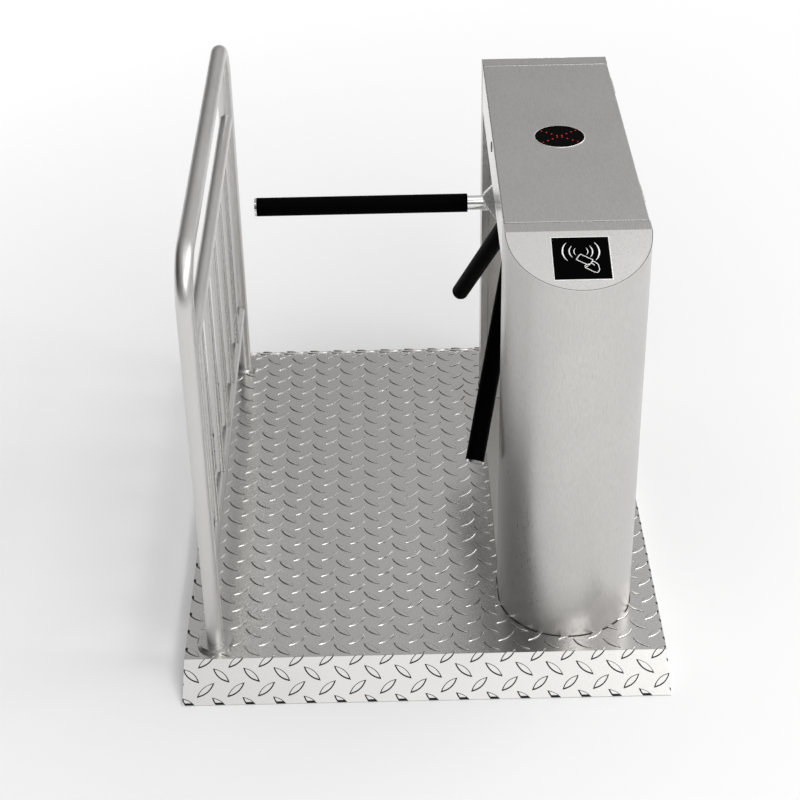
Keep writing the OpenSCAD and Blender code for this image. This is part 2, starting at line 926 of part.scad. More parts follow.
module shaft_bearings() {
  color("silver") at_axis()
    for (s = [shield_s + bearing_w, house_end])
      translate([0, 0, -s]) difference() {
        cylinder(r = bearing_r - run_gap, h = bearing_w);
        translate([0, 0, -over]) cylinder(r = shaft_d / 2 + run_gap, h = bearing_w + 2 * over);
      }
}

module tripod_shaft() {
  color("silver") at_axis() {
    translate([0, 0, -disc_s - disc_t - arm_pin_d])
      cylinder(d = shaft_d, h = disc_s + disc_t + arm_pin_d + nose_s - hub_bore_in);
    translate([0, 0, nose_s - hub_bore_in])
      cylinder(d = shaft_nut_d, h = hub_bore_in - nose_cap_t - seat_gap, $fn = 6);
    translate([0, 0, -disc_s - disc_t - arm_pin_d])
      cylinder(d = shaft_nut_d, h = arm_pin_d, $fn = 6);
  }
}

// The disc whose slots the lock plungers enter, one pair for each arm
module index_disc() {
  color("goldenrod") at_axis() translate([0, 0, -disc_s - disc_t]) difference() {
    cylinder(r = disc_r, h = disc_t, $fn = 96);
    translate([0, 0, -over]) cylinder(d = shaft_d, h = disc_t + 2 * over);
    for (k = [0:2])
      for (side = [-1, 1])
        rotate([0, 0, k * 360 / 3 + side * slot_angle])
          translate([slot_r, 0, -over]) cylinder(d = slot_d, h = disc_t + 2 * over);
  }
}

// A cam with one lobe between each two arms
module centring_cam() {
  lobe = 2 * ccam_lobe;
  color("silver") at_axis() translate([0, 0, -cam_s - ccam_t]) difference() {
    union() {
      cylinder(r = ccam_r - ccam_lobe, h = ccam_t, $fn = 96);
      for (k = [0:2])
        rotate([0, 0, (k + 0.5) * 360 / 3]) translate([ccam_r - lobe, 0, 0]) cylinder(r = lobe, h = ccam_t);
    }
    translate([0, 0, -over]) cylinder(d = shaft_d, h = ccam_t + 2 * over);
  }
}

// Distance of the roller's axis from the shaft's, just clear of the lobes
roller_at = ccam_r + roller_d / 2 + roller_gap;

module centring_arm() {
  px = carm_drop - cheek_t;
  py = carm_y - cheek_t;
  reach = sqrt(pow(roller_at - px, 2) + pow(py, 2));
  color("dimgray") at_axis() {
    translate([0, 0, -house_end - carm_t]) linear_extrude(carm_t - move_gap) difference() {
      union() {
        translate([px, py]) circle(d = carm_w);
        translate([roller_at, 0]) circle(d = carm_w);
        translate([roller_at, 0]) rotate(atan2(py, px - roller_at))
          translate([0, -carm_bar / 2]) square([reach - carm_w / 3, carm_bar]);
      }
      translate([px, py]) circle(r = arm_pin_d / 2 + run_gap);
    }
    // The roller's pin
    translate([roller_at, 0, -cam_s - ccam_t])
      cylinder(d = roller_d / 2, h = cam_s + ccam_t - house_end - carm_t / 2);
  }
}

module centring_roller() {
  color("black") at_axis() translate([roller_at, 0, -cam_s - ccam_t]) difference() {
    cylinder(d = roller_d, h = roller_w);
    translate([0, 0, -over]) cylinder(r = roller_d / 4 + run_gap, h = roller_w + 2 * over);
  }
}

// The torsion spring round the arm's pivot, as a plain sleeve
module centring_spring() {
  color("silver") at_axis() carm_pivot() translate([0, 0, carm_t + move_gap / 2])
    pipe(arm_pin_d / 2 + spring_d / 3, spring_d / 3 - run_gap, roller_w);
}

module solenoid_places() {
  for (side = [-1, 1])
    at_axis() rotate([0, 0, side * slot_angle]) translate([slot_r, 0, -plate_s]) children();
}

// The plate across the cheeks that carries both solenoids
module solenoid_plate() {
  color("gray") difference() {
    at_axis() translate([-splate_low, -cheek_y, -plate_s - splate_t])
      cube([splate_low - splate_high, 2 * cheek_y, splate_t]);
    solenoid_places() translate([0, 0, -splate_t - over])
      cylinder(r = plunger_d / 2 + 2 * run_gap, h = splate_t + 2 * over);
  }
}

module solenoids() {
  color("darkred") solenoid_places() translate([0, 0, -splate_t - solenoid_l]) difference() {
    cylinder(d = solenoid_d, h = solenoid_l);
    translate([0, 0, splate_t]) cylinder(r = plunger_d / 2 + 2 * run_gap, h = solenoid_l);
  }
}

// The plunger on one side of the shaft, drawn released, clear of the disc
module lock_plunger(side) {
  l = solenoid_l - 2 * splate_t;
  color("silver") at_axis() rotate([0, 0, side * slot_angle])
    translate([slot_r, 0, -disc_s - disc_t - plunger_stop - plunger_stroke - l])
      cylinder(d = plunger_d, h = l);
}

module front_lock_plunger() {
  lock_plunger(-1);
}

module back_lock_plunger() {
  lock_plunger(1);
}

// Hub and arms

module hub_body() {
  color("silver") difference() {
    union() {
      at_axis() rotate_extrude($fn = 128) polygon([
        [shaft_d / 2, -hub_back], [hub_r - hub_bevel, -hub_back], [hub_r, hub_bevel - hub_back],
        [hub_r, hub_rim - hub_bevel], [hub_r - hub_bevel, hub_rim], [nose_r, hub_rim],
        [nose_r - hub_bevel, nose_s], [nose_bore, nose_s], [nose_bore, nose_s - hub_bore_in],
        [shaft_d / 2, nose_s - hub_bore_in]]);
      // A boss round each socket, square to its arm and flush with the hub's rim
      intersection() {
        at_axis() cylinder(r = hub_r, h = root_t, $fn = 128);
        for (k = [0:2])
          at_arm(k) translate([0, 0, root_t - hub_rim]) cylinder(r = arm_d / 2 + boss_wall, h = hub_rim);
      }
    }
    at_axis()
      for (k = [0:2])
        rotate([0, 0, k * 360 / 3]) translate([0, 0, arm_grub_s]) rotate([0, 90, 0])
          cylinder(d = arm_grub_d, h = hub_d);
    for (k = [0:2])
      at_arm(k) translate([0, 0, socket_in]) cylinder(r = arm_d / 2 + run_gap, h = arm_reach);
  }
}

// Radius of the recess in the hub's nose
nose_bore = shaft_nut_d / 2 + seat_gap;

module hub_nose_cap() {
  color("silver") at_axis() translate([0, 0, nose_s - nose_cap_t])
    cylinder(r1 = nose_bore - seat_gap, r2 = nose_bore - seat_gap, h = nose_cap_t);
}

module arm_tubes() {
  color("silver")
    for (k = [0:2])
      at_arm(k) translate([0, 0, socket_in])
        pipe(arm_d / 2, arm_wall, arm_reach - tip_cap_t - socket_in);
}

module arm_sleeves() {
  start = root_t + sleeve_start;
  color("black")
    for (k = [0:2])
      at_arm(k) translate([0, 0, start])
        pipe(sleeve_d / 2, sleeve_d / 2 - arm_d / 2 - run_gap, arm_reach - tip_cap_t - start);
}

module arm_end_caps() {
  color("silver")
    for (k = [0:2])
      at_arm(k) translate([0, 0, arm_reach - tip_cap_t]) {
        cylinder(d1 = sleeve_d, d2 = sleeve_d - tip_cap_t / 2, h = tip_cap_t);
        translate([0, 0, -tip_plug_l]) cylinder(r = arm_d / 2 - arm_wall - run_gap, h = tip_plug_l);
      }
}

// A screw from the hub's side on to each arm's tube
module arm_grub_screws() {
  seat = arm_grub_s * tan(tilt) + arm_d / 2 / cos(tilt) + arm_grub_d / 2 * tan(tilt);
  color("dimgray") at_axis()
    for (k = [0:2])
      rotate([0, 0, k * 360 / 3]) translate([seat, 0, arm_grub_s]) rotate([0, 90, 0])
        cylinder(d = arm_grub_d, h = hub_r - grub_sink - seat);
}

// Pieces inside the front leg, on the back of its cover

module inner_box(w, h, z) {
  at_end(1) translate([-w / 2, leg_len - 2 * sheet_t - box_t, z]) cube([w, box_t, h]);
}

module control_box() {
  color("darkslategray") inner_box(control_w, control_h, control_z);
}

module power_supply() {
  color("gray") inner_box(supply_w, supply_h, supply_z);
}

// The gland of the supply cable, low on the back end
module cable_gland() {
  color("dimgray") at_end(-1) translate([0, 0, gland_z]) rotate([-90, 0, 0]) difference() {
    union() {
      translate([0, 0, -gland_l / 2]) cylinder(r = gland_d / 2 - seat_gap, h = gland_l);
      translate([0, 0, -gland_d / 3]) cylinder(d = gland_d * 1.4, h = gland_d / 3, $fn = 6);
      translate([0, 0, sheet_t + 2 * seat_gap + gland_d * gland_d / cab_w / 4])
        cylinder(d = gland_d * 1.4, h = gland_d / 3, $fn = 6);
    }
    translate([0, 0, -gland_l]) cylinder(d = gland_d / 2, h = 3 * gland_l);
  }
}

tread_deck();
front_ramp();
back_ramp();
subframe_rails();
subframe_crossbars();
rubber_feet();
cabinet_base_plate();
anchor_bolts();
rail_hoop();
rail_mid_bar();
rail_bottom_bar();
rail_uprights();
rail_flanges();
rail_flange_bolts();
rail_flange_covers();
front_leg_shell();
back_leg_shell();
front_leg_cover();
back_leg_cover();
beam_left_side();
beam_right_side();
beam_bottom_plate();
front_top_cap();
back_top_cap();
lid();
lid_gasket();
lid_hinge_fixed();
lid_hinge_moving();
lid_hinge_pins();
lid_catch();
lock_barrel();
lock_plug();
reader_windows();
reader_modules();
indicator_bezel();
indicator_lens();
indicator_board();
mechanism_base();
mechanism_cheeks();
axle_housing();
shaft_bearings();
tripod_shaft();
index_disc();
centring_cam();
centring_arm();
centring_roller();
centring_spring();
solenoid_plate();
solenoids();
front_lock_plunger();
back_lock_plunger();
hub_body();
hub_nose_cap();
arm_tubes();
arm_sleeves();
arm_end_caps();
arm_grub_screws();
control_box();
power_supply();
cable_gland();
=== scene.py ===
"""Looks of a portable tripod turnstile: treaded deck, brushed cabinet, chromed tripod and rail.

Lengths are metres in the part's own frame: +X from the rail to the cabinet, +Y along the lane,
+Z up. A side of 1 is the front end, where a person walks up, and -1 is the back end.
"""
import math

import bmesh
import bpy
from mathutils import Matrix, Vector


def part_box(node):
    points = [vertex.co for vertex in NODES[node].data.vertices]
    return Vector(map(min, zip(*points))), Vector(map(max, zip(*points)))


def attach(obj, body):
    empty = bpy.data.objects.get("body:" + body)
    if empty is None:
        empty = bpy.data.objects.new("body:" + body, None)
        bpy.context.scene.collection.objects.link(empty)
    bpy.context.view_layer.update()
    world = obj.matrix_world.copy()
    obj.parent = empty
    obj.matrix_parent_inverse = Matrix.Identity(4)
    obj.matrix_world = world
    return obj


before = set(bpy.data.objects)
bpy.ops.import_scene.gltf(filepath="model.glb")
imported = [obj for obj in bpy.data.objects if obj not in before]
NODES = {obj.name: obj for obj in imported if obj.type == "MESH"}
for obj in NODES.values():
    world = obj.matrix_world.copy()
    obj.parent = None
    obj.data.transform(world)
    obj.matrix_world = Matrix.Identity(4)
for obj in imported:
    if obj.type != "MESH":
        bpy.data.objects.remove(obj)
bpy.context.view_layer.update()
MM = 0.001
ENDS = (("front", 1), ("back", -1))

# Sizes that the pieces below follow
DECK_W = 1.068
DECK_LEN = 1.268
DECK_H = 0.050
RAMP_RUN = 0.096
RAMP_NOSE = 0.002
CAB_W = 0.300
CAB_LEN = 1.190
CAB_H = 0.943
CAB_TOP = DECK_H + CAB_H
CAB_EDGE = 0.0605  # from the cabinet to the deck's right edge
CAB_X = DECK_W / 2 - CAB_EDGE - CAB_W / 2
CAB_Y = 0.011
SLOPE_RUN = 0.150
SLOPE_DROP = {1: 0.0535, -1: 0.066}
READER_W = 0.115
READER_L = 0.112
READER_DROP = 0.018
INDICATOR_R = 0.055
BEZEL_H = 0.0015

# Camera, solved from the photograph's straight edges
CAM_AT = Vector((-0.0594, -3.7518, 2.7658))
CAM_PITCH = 0.5798
CAM_YAW = 0.0044
CAM_ROLL = -0.0194
FOCAL_PX = 1851.39
FRAME_PX = 800
SENSOR = 36.0
CAM_REACH = 60


def camera():
    """The camera, from its place, its three angles and its focal length in pixels."""
    level = math.cos(CAM_PITCH)
    ahead = Vector((math.sin(CAM_YAW) * level, math.cos(CAM_YAW) * level, -math.sin(CAM_PITCH)))
    right = Vector((math.cos(CAM_YAW), -math.sin(CAM_YAW), 0))
    up = right.cross(ahead)
    tilted_right = math.cos(CAM_ROLL) * right + math.sin(CAM_ROLL) * up
    tilted_up = -math.sin(CAM_ROLL) * right + math.cos(CAM_ROLL) * up
    data = bpy.data.cameras.new("camera")
    data.sensor_width = SENSOR
    data.lens = FOCAL_PX * SENSOR / FRAME_PX
    data.clip_end = CAM_REACH
    obj = bpy.data.objects.new("camera", data)
    bpy.context.scene.collection.objects.link(obj)
    turn = Matrix((tilted_right, tilted_up, -ahead)).transposed().to_4x4()
    obj.matrix_world = Matrix.Translation(CAM_AT) @ turn
    bpy.context.scene.camera = obj


# Finishes

NOISE_SPAN = (0.3, 0.7)  # the share of a noise's range that nearly all of it lies in
NOISE_ROUGH = 0.55
FINE_DETAIL = 4.0
BROAD_DETAIL = 2.0
CLOUD_SHARE = 0.35


class Tree:
    """A short way to add and link nodes of one material or world."""

    def __init__(self, owner):
        owner.use_nodes = True
        self.tree = owner.node_tree
        self.tree.nodes.clear()

    def add(self, kind, **settings):
        node = self.tree.nodes.new(kind)
        for key, value in settings.items():
            setattr(node, key, value)
        return node

    def link(self, out, into):
        self.tree.links.new(out, into)

    def math(self, operation, a, b):
        node = self.add("ShaderNodeMath", operation=operation)
        for socket, value in zip(node.inputs, (a, b)):
            if isinstance(value, (int, float)):
                socket.default_value = value
            else:
                self.link(value, socket)
        return node.outputs[0]

    def noise(self, scale, stretch, detail):
        where = self.add("ShaderNodeTexCoord")
        mapping = self.add("ShaderNodeMapping")
        mapping.inputs["Scale"].default_value = stretch
        self.link(where.outputs["Object"], mapping.inputs["Vector"])
        node = self.add("ShaderNodeTexNoise")
        node.inputs["Scale"].default_value = scale
        node.inputs["Detail"].default_value = detail
        node.inputs["Roughness"].default_value = NOISE_ROUGH
        self.link(mapping.outputs["Vector"], node.inputs["Vector"])
        return node.outputs["Fac"]

    def span(self, value, low, high, start=NOISE_SPAN[0], end=NOISE_SPAN[1]):
        node = self.add("ShaderNodeMapRange")
        self.link(value, node.inputs["Value"])
        node.inputs["From Min"].default_value = start
        node.inputs["From Max"].default_value = end
        node.inputs["To Min"].default_value = low
        node.inputs["To Max"].default_value = high
        return node.outputs["Result"]

    def blend(self, fac, a, b):
        node = self.add("ShaderNodeMix", data_type="RGBA")
        self.link(fac, node.inputs["Factor"])
        for name, value in (("A", a), ("B", b)):
            socket = [s for s in node.inputs if s.name == name and s.type == "RGBA"][0]
            if isinstance(value, tuple):
                socket.default_value = (*value, 1)
            else:
                self.link(value, socket)
        return [s for s in node.outputs if s.type == "RGBA"][0]


def surface(name, metallic, rough, colour, grain, stretch=(1, 1, 1), mottle=0.06, rough_span=0.06,
            bump=0.15, bump_mm=0.05, coat=0.0, specular=0.5, cloud=6.0, glow=0.0):
    """A finish with fine grain along one direction and broad clouds, which its colour, roughness
    and relief follow."""
    mat = bpy.data.materials.new(name)
    t = Tree(mat)
    out = t.add("ShaderNodeOutputMaterial")
    shader = t.add("ShaderNodeBsdfPrincipled")
    t.link(shader.outputs[0], out.inputs["Surface"])
    fine = t.noise(grain, stretch, FINE_DETAIL)
    broad = t.noise(cloud, (1, 1, 1), BROAD_DETAIL)
    dark = tuple(c * (1 - mottle) for c in colour)
    light = tuple(min(1.0, c * (1 + mottle)) for c in colour)
    tone = t.blend(t.span(fine, 0.0, 1.0), dark, light)
    t.link(t.blend(t.span(broad, 0.0, CLOUD_SHARE), tone, dark), shader.inputs["Base Color"])
    fine_rough = t.span(fine, -rough_span, rough_span)
    broad_rough = t.span(broad, rough - rough_span / 2, rough + rough_span / 2)
    t.link(t.math("ADD", fine_rough, broad_rough), shader.inputs["Roughness"])
    shader.inputs["Metallic"].default_value = metallic
    shader.inputs["Coat Weight"].default_value = coat
    shader.inputs["Specular IOR Level"].default_value = specular
    if glow:
        shader.inputs["Emission Color"].default_value = (*colour, 1)
        shader.inputs["Emission Strength"].default_value = glow
    relief = t.add("ShaderNodeBump")
    relief.inputs["Strength"].default_value = bump
    relief.inputs["Distance"].default_value = bump_mm * MM
    t.link(fine, relief.inputs["Height"])
    t.link(relief.outputs["Normal"], shader.inputs["Normal"])
    return mat


def along_y(share):
    """Grain drawn out along Y, with this share of its frequency left there."""
    return 1, share, 1


def along_z(share):
    """Grain drawn out along Z, with this share of its frequency left there."""
    return 1, 1, share


FINISHES = {
    "leg_steel": dict(metallic=1, rough=0.34, colour=(0.60, 0.585, 0.570), grain=420,
                      stretch=along_z(0.16), mottle=0.08, bump=0.22),
    "top_steel": dict(metallic=1, rough=0.31, colour=(0.66, 0.651, 0.636), grain=500,
                      stretch=along_y(0.12), mottle=0.02, bump=0.03),
    "panel_steel": dict(metallic=1, rough=0.36, colour=(0.64, 0.627, 0.610), grain=460,
                        stretch=along_z(0.12), mottle=0.05, bump=0.2),
    # A lighter copy of the cabinet's steel, a painted light on the beam's sides
    "lit_band_steel": dict(metallic=1, rough=0.26, colour=(0.84, 0.825, 0.805), grain=300,
                       stretch=along_y(0.1), mottle=0.06, bump=0.2),
    "tread_steel": dict(metallic=1, rough=0.24, colour=(0.62, 0.607, 0.594), grain=260,
                        mottle=0.03, rough_span=0.04, bump=0.05),
    # Near-black steel that paints shade on the sides of the ramps' bars
    "painted_edge_shade": dict(metallic=1, rough=0.35, colour=(0.055, 0.054, 0.052), grain=260,
                       mottle=0.1, bump=0.05),
    "tube_steel": dict(metallic=1, rough=0.40, colour=(0.67, 0.661, 0.648), grain=420,
                       stretch=along_y(0.1), mottle=0.02, bump=0.03),
    # Darker than the tube steel, a painted shade on the rail's uprights and flanges
    "shaded_post_steel": dict(metallic=1, rough=0.28, colour=(0.57, 0.562, 0.55), grain=420,
                       stretch=along_z(0.1), mottle=0.02, bump=0.03),
    "chrome": dict(metallic=1, rough=0.07, colour=(0.80, 0.80, 0.80), grain=180,
                   mottle=0.02, rough_span=0.02, bump=0.02),
    "hub_steel": dict(metallic=0.55, rough=0.25, colour=(0.86, 0.86, 0.85), grain=300,
                      mottle=0.03, bump=0.05),
    # Near-black that paints shade on the bars' cut ends, along the sloped caps' joints, round the
    # legs' feet and in the covers' gaps
    "painted_shade": dict(metallic=0, rough=0.6, colour=(0.02, 0.02, 0.02), grain=300,
                      mottle=0.1, specular=0.1),
    "key_steel": dict(metallic=1, rough=0.4, colour=(0.04, 0.04, 0.038), grain=300, mottle=0.1),
    "barrel_steel": dict(metallic=1, rough=0.3, colour=(0.12, 0.118, 0.115), grain=300,
                         mottle=0.05),
    "hinge_steel": dict(metallic=1, rough=0.4, colour=(0.85, 0.84, 0.82), grain=300, mottle=0.1),
    # Brighter than the top steel, a painted highlight along the lid's ends and round the card
    # windows
    "painted_highlight": dict(metallic=1, rough=0.30, colour=(0.93, 0.92, 0.90), grain=300,
                       mottle=0.03, bump=0.05),
    "bolt_steel": dict(metallic=1, rough=0.35, colour=(0.52, 0.515, 0.50), grain=300, mottle=0.1),
    "dark_paint": dict(metallic=0, rough=0.5, colour=(0.055, 0.056, 0.06), grain=220,
                       mottle=0.15, bump=0.3),
    "zinc": dict(metallic=0.9, rough=0.42, colour=(0.45, 0.46, 0.48), grain=60,
                 mottle=0.18, bump=0.1, cloud=40),
    "cast": dict(metallic=0.9, rough=0.48, colour=(0.50, 0.51, 0.52), grain=300,
                 mottle=0.08, bump=0.6, bump_mm=0.1),
    "bearing": dict(metallic=1, rough=0.14, colour=(0.72, 0.72, 0.73), grain=300,
                    mottle=0.03, bump=0.05),
    "brass": dict(metallic=1, rough=0.28, colour=(0.70, 0.52, 0.25), grain=260,
                  mottle=0.08, bump=0.1),
    "coil_paint": dict(metallic=0, rough=0.35, colour=(0.24, 0.03, 0.025), grain=200,
                       mottle=0.1, bump=0.1, coat=0.3),
    "sleeve": dict(metallic=0, rough=0.5, colour=(0.0012, 0.0012, 0.0012), grain=650,
                   mottle=0.2, rough_span=0.05, bump=0.25, specular=0.01),
    "foot_rubber": dict(metallic=0, rough=0.75, colour=(0.015, 0.015, 0.015), grain=350,
                        mottle=0.2, bump=0.4),
    "window": dict(metallic=0, rough=0.10, colour=(0.0012, 0.0012, 0.0013), grain=120,
                   mottle=0.1, rough_span=0.02, bump=0.01, specular=0.008),
    "lens": dict(metallic=0, rough=0.12, colour=(0.0012, 0.0008, 0.0008), grain=120,
                 mottle=0.1, rough_span=0.02, bump=0.01, specular=0.008),
    "moulding": dict(metallic=0, rough=0.45, colour=(0.035, 0.036, 0.038), grain=500,
                     mottle=0.15, bump=0.3),
    "board": dict(metallic=0, rough=0.35, colour=(0.012, 0.09, 0.035), grain=200,
                  mottle=0.15, bump=0.1),
    "icon_white": dict(metallic=0, rough=0.4, colour=(0.86, 0.86, 0.85), grain=300,
                       mottle=0.02, bump=0.02),
    "led_red": dict(metallic=0, rough=0.3, colour=(0.45, 0.006, 0.006), grain=400,
                    mottle=0.1, glow=0.55),
}
MATERIALS = {name: surface(name, **settings) for name, settings in FINISHES.items()}

WORN_BY = {
    "leg_steel": ["front_leg_shell", "back_leg_shell"],
    "top_steel": ["lid", "front_top_cap", "back_top_cap"],
    "panel_steel": ["front_leg_cover", "back_leg_cover", "beam_bottom_plate",
                    "cabinet_base_plate"],
    "lit_band_steel": ["beam_left_side", "beam_right_side"],
    "tread_steel": ["tread_deck", "front_ramp", "back_ramp"],
    "tube_steel": ["rail_hoop", "rail_mid_bar", "rail_bottom_bar"],
    "shaded_post_steel": ["rail_uprights", "rail_flanges", "rail_flange_covers"],
    "chrome": ["hub_nose_cap", "arm_tubes", "arm_end_caps"],
    "hub_steel": ["hub_body"],
    "barrel_steel": ["lock_barrel"],
    "bolt_steel": ["anchor_bolts", "rail_flange_bolts", "lid_catch", "arm_grub_screws"],
    "hinge_steel": ["lid_hinge_fixed", "lid_hinge_moving", "lid_hinge_pins"],
    "key_steel": ["lock_plug"],
    "dark_paint": ["subframe_rails", "subframe_crossbars"],
    "zinc": ["mechanism_base", "mechanism_cheeks", "solenoid_plate", "centring_arm",
             "power_supply"],
    "cast": ["axle_housing"],
    "bearing": ["tripod_shaft", "shaft_bearings", "front_lock_plunger", "back_lock_plunger",
                "centring_cam", "centring_spring"],
    "brass": ["index_disc"],
    "coil_paint": ["solenoids"],
    "sleeve": ["arm_sleeves"],
    "foot_rubber": ["rubber_feet", "lid_gasket"],
    "window": ["reader_windows"],
    "lens": ["indicator_lens", "indicator_bezel"],
    "moulding": ["reader_modules", "control_box", "cable_gland", "centring_roller"],
    "board": ["indicator_board"],
}


def finish_nodes():
    """Gives each node that the part brings its finish."""
    for name, nodes in WORN_BY.items():
        for node in nodes:
            obj = NODES[node]
            obj.data.materials.clear()
            obj.data.materials.append(MATERIALS[name])


def piece(name, verts, faces, material, body):
    """A mesh piece that rides on a body and takes its finish from a slot."""
    mesh = bpy.data.meshes.new(name)
    mesh.from_pydata(verts, [], faces)
    mesh.materials.append(MATERIALS[material])
    obj = bpy.data.objects.new(name, mesh)
    bpy.context.scene.collection.objects.link(obj)
    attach(obj, body)
    return obj


# Tread plate: raised lens-shaped bars in two crossing rows

BAR_L = 0.051
BAR_W = 0.0155
BAR_SINK = 0.0003
BAR_ANGLE = math.radians(42)
BAR_STEPS = 12
BAR_SIDE = ((0.0, 0.0), (0.0007, 0.0012), (0.0015, 0.0020), (0.0024, 0.0024))  # in, up
BAR_TAPER = 2.2  # how much faster a bar's ends draw in than its sides
# Lengths at the bars' cut ends that take a painted shade: at the deck's sides, and at the ramps'
# sides and feet
SIDE_END = 0.0055
FOOT_END = 0.0028
CUT_NEAR = 1e-7
# The finish at index END_FINISH paints shade on the bars' cut ends
END_FINISH = 2  # index of the dark ends among a tread piece's finishes
DECK_FIRST = (-0.3523, -0.5189)
DECK_PITCH = (0.0667, 0.0606)
RAMP_FIRST = (-0.4843, -0.0050)
RAMP_PITCH = (0.0667, 0.0683)


def bar_ring(inset, z):
    """A lens outline along x, set in by inset."""
    half, bow_w = BAR_L / 2 - inset * BAR_TAPER, BAR_W / 2 - inset
    side = [(-half + 2 * half * i / BAR_STEPS) for i in range(BAR_STEPS + 1)]
    bow = [bow_w * (1 - (x / half) ** 2) for x in side]
    upper = [(x, b, z) for x, b in zip(side, bow)]
    lower = [(x, -b, z) for x, b in zip(side[-2:0:-1], bow[-2:0:-1])]
    return upper + lower


def bars(places):
    """Closed bars at (x, y, angle): vertices, faces, and whether each face is on a bar's side."""
    rings = [bar_ring(0.0, -BAR_SINK)] + [bar_ring(inset, z) for inset, z in BAR_SIDE]
    count = len(rings[0])
    verts, faces, sides = [], [], []
    for px, py, angle in places:
        c, s = math.cos(angle), math.sin(angle)
        base = len(verts)
        for ring in rings:
            verts += [(px + x * c - y * s, py + x * s + y * c, z) for x, y, z in ring]
        for r in range(len(rings) - 1):
            a, b = base + r * count, base + (r + 1) * count
            for i in range(count):
                j = (i + 1) % count
                faces.append((a + j, a + i, b + i, b + j))
                sides.append(True)
        top = base + (len(rings) - 1) * count
        faces.append(tuple(range(top + count - 1, top - 1, -1)))
        faces.append(tuple(range(base, base + count)))
        sides += [False, False]
    return verts, faces, sides


def bisected(bm, point, normal, clear):
    """Cuts all of a mesh at a plane, and clears what lies past it if asked."""
    geom = bm.verts[:] + bm.edges[:] + bm.faces[:]
    return bmesh.ops.bisect_plane(bm, geom=geom, dist=CUT_NEAR, plane_co=point, plane_no=normal,
                                  clear_outer=clear)["geom_cut"]


def trimmed(mesh, cuts):
    """Cuts a mesh off past each (point, outward normal, dark end) and closes it there.

    A dark end is the length before the cut that takes END_FINISH, a painted shade, or 0.
    """
    bm = bmesh.new()
    bm.from_mesh(mesh)
    for point, normal, end in cuts:
        finish = END_FINISH if end else 0
        if end:
            inner = Vector(point) - Vector(normal) * end
            bisected(bm, inner, normal, False)
            for face in bm.faces:
                if (face.calc_center_median() - inner).dot(Vector(normal)) > 0:
                    face.material_index = finish
        cut = bisected(bm, point, normal, True)
        edges = [e for e in cut if isinstance(e, bmesh.types.BMEdge) and e.is_boundary]
        for face in bmesh.ops.holes_fill(bm, edges=edges, sides=0)["faces"]:
            face.material_index = finish
    bm.normal_update()
    bm.to_mesh(mesh)
    bm.free()


def tread_rows(x_span, y_span, first, pitch):
    """Places of both kinds of bar over a rectangle, one kind half a pitch from the other."""
    places = []
    for kind, angle in ((0, BAR_ANGLE), (1, -BAR_ANGLE)):
        lines = []
        for axis, (low, high) in enumerate((x_span, y_span)):
            start = first[axis] + kind * pitch[axis] / 2
            n0 = math.ceil((low - BAR_L / 2 - start) / pitch[axis])
            n1 = math.floor((high + BAR_L / 2 - start) / pitch[axis])
            lines.append([start + n * pitch[axis] for n in range(n0, n1 + 1)])
        places += [(x, y, angle) for y in lines[1] for x in lines[0]]
    return places


def tread(name, y_span, first, pitch, is_dark, cuts, end, place):
    """Bars over the deck's width and y_span, cut to it and to the cuts, then set in place.

    is_dark says of a bar's side face, by its normal, whether it takes the dark edge's finish,
    which paints shade on the bar's side.
    """
    half = DECK_W / 2
    verts, faces, sides = bars(tread_rows((-half, half), y_span, first, pitch))
    obj = piece(name, verts, faces, "tread_steel", "frame")
    for finish in ("painted_edge_shade", "painted_shade"):
        obj.data.materials.append(MATERIALS[finish])
    for face, side in zip(obj.data.polygons, sides):
        face.material_index = int(side and is_dark(face.normal))
    trimmed(obj.data, [((half, 0, 0), (1, 0, 0), end), ((-half, 0, 0), (-1, 0, 0), end)] + cuts)
    obj.data.transform(place)


def tread_deck():
    """The bars of the deck."""
    half = DECK_LEN / 2
    cuts = [((0, half, 0), (0, 1, 0), 0), ((0, -half, 0), (0, -1, 0), 0)]
    tread("tread_bars", (-half, half), DECK_FIRST, DECK_PITCH, lambda normal: False, cuts,
          SIDE_END, Matrix.Translation((0, 0, DECK_H)))


def tread_ramps():
    """The bars of both ramps. Their sides take a painted shade: all sides on the front ramp, and
    the sides that face downhill on the back ramp.
    """
    rise = DECK_H - RAMP_NOSE
    length = math.hypot(RAMP_RUN, rise)
    slope = math.atan2(rise, RAMP_RUN)
    foot = (0, -math.cos(slope), math.sin(slope))
    cuts = [((0, 0, 0), (0, 1, 0), 0), ((0, -length, 0), foot, FOOT_END)]
    lean = Matrix.Translation((0, -DECK_LEN / 2, DECK_H)) @ Matrix.Rotation(slope, 4, "X")
    for name, turn, is_dark in (("front", 0.0, lambda normal: True),
                                ("back", math.pi, lambda normal: normal.y <= 0)):
        tread("tread_bars_" + name, (-length, 0), RAMP_FIRST, RAMP_PITCH, is_dark, cuts,
              FOOT_END, Matrix.Rotation(turn, 4, "Z") @ lean)


# Card readers: three arcs to each side and a hand that holds a card

ICON_LIFT = 0.0003
ICON_T = 0.0003
ARC_RADII = (0.0140, 0.0235, 0.0370)
ARC_FAT = (0.0017, 0.0024, 0.0030)
ARC_TIP = 0.25  # an arc's width at its tips, as a share of its width at its middle
ARC_HALF = math.radians(40)
ARC_CENTRE = (0.0, -0.0385)
ARC_STEPS = 24
LINE_W = 0.0015
MITRE_LEAST = 0.35
CARD_L = 0.0295
CARD_W = 0.0170
CARD_TURN = math.radians(-33)
CARD_AT = Vector((0.0059, -0.0605))
CARD_ROUND = 0.0022
HAND_ROUND = 0.004
ROUND_STEPS = 4
# A plain hand in millimetres, each line with whether it closes: the outline behind the card,
# the thumb over it, and a fold of a finger
HAND = (
    ([(23.0, -64.0), (32.0, -73.0), (34.0, -88.0), (29.5, -96.0), (20.0, -92.0),
      (11.5, -85.0), (5.5, -82.0), (4.5, -76.0), (10.0, -73.0), (15.0, -72.5)], True),
    ([(14.0, -72.0), (19.0, -70.0), (25.0, -76.0)], False),
    ([(6.5, -80.5), (11.5, -77.0)], False),
)


